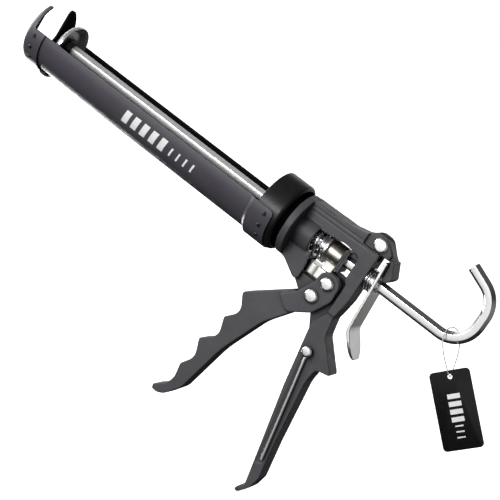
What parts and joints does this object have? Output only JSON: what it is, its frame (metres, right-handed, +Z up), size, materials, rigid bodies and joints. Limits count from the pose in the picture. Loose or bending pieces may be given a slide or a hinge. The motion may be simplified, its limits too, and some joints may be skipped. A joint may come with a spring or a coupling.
{
  "type": "caulking gun",
  "caption": "Manual caulking gun with an open half-tube cradle, a hooked six-sided push rod, a squeeze trigger, a release lever and a hang tag.",
  "frame": {"origin": "on the push rod's axis, at the front face of the collar that the cartridge's base rests on", "axes": "+X along the rod towards the hook, +Z up, the handle points down and the nozzle end points to -X"},
  "size_m": [0.4572, 0.0584, 0.2424],
  "materials": {
    "casting": "satin black powder coat, lightly textured",
    "trough": "smooth satin black paint",
    "cap": "smooth satin black paint",
    "collar": "satin black paint",
    "black_rivet": "black painted steel",
    "chrome": "bright chrome plate",
    "steel": "bright steel",
    "dark_steel": "black oxide steel",
    "pin": "zinc-plated, satin",
    "zinc": "zinc-plated, satin",
    "sleeve": "turned, warm satin",
    "bushing": "sintered bronze",
    "spring": "bright spring wire",
    "tag": "gloss black card with white lines",
    "nylon": "clear nylon thread"
  },
  "bodies": {
    "frame": {"body_casting": "casting", "rod_bushings": "bushing", "retaining_ring": "steel", "pivot_pin": "pin", "boss_pin": "pin", "lever_catch": "casting", "punch_rivet": "pin"},
    "cradle": {"barrel_trough": "trough", "front_cap": "cap", "front_rivets": "black_rivet", "rear_collar": "collar", "rear_rivets": "black_rivet"},
    "rod": {"push_rod": "chrome", "piston_dish": "chrome", "piston_washer": "dark_steel", "piston_nut": "dark_steel"},
    "squeeze": {"trigger": "casting", "pusher_pin": "pin", "pusher_roller": "steel"},
    "drive": {"drive_sleeve": "sleeve", "drive_block": "zinc", "spring_washer": "steel", "grip_plates": "steel", "main_spring": "spring"},
    "release": {"release_lever": "zinc", "release_spring": "spring"},
    "punch": {"punch_wire": "steel"},
    "tag": {"hang_tag": "tag", "tag_loop": "nylon"}
  },
  "joints": [
    {"name": "cradle_spin", "type": "hinge", "parent": "frame", "child": "cradle", "pos_m": [0, 0, 0], "axis": [1, 0, 0], "continuous": true},
    {"name": "rod_slide", "type": "slide", "parent": "frame", "child": "rod", "axis": [1, 0, 0], "range_m": [-0.018, 0.19]},
    {"name": "trigger_squeeze", "type": "hinge", "parent": "frame", "child": "squeeze", "pos_m": [0.067, 0, -0.0337], "axis": [0, -1, 0], "range_deg": [0, 28], "stiffness_Nm_per_rad": 0.8, "springref_deg": -5.73},
    {"name": "drive_slide", "type": "slide", "parent": "frame", "child": "drive", "axis": [-1, 0, 0], "range_m": [0, 0.0073], "deforming": ["main_spring"]},
    {"name": "release_tilt", "type": "hinge", "parent": "frame", "child": "release", "pos_m": [0.0989, 0, 0.0188], "axis": [0, 1, 0], "range_deg": [0, 6], "stiffness_Nm_per_rad": 0.3, "springref_deg": -5.73, "deforming": ["release_spring"]},
    {"name": "punch_swing", "type": "hinge", "parent": "frame", "child": "punch", "pos_m": [0.0872, -0.00955, -0.068], "axis": [0, -1, 0], "range_deg": [0, 75]},
    {"name": "tag_swing", "type": "hinge", "parent": "rod", "child": "tag", "pos_m": [0.164, 0, 0.0026], "axis": [0, 1, 0], "range_deg": [-20, 25]}
  ],
  "couplings": [
    {"joint": "drive_slide", "follows": "trigger_squeeze", "m_per_rad": 0.0146}
  ]
}
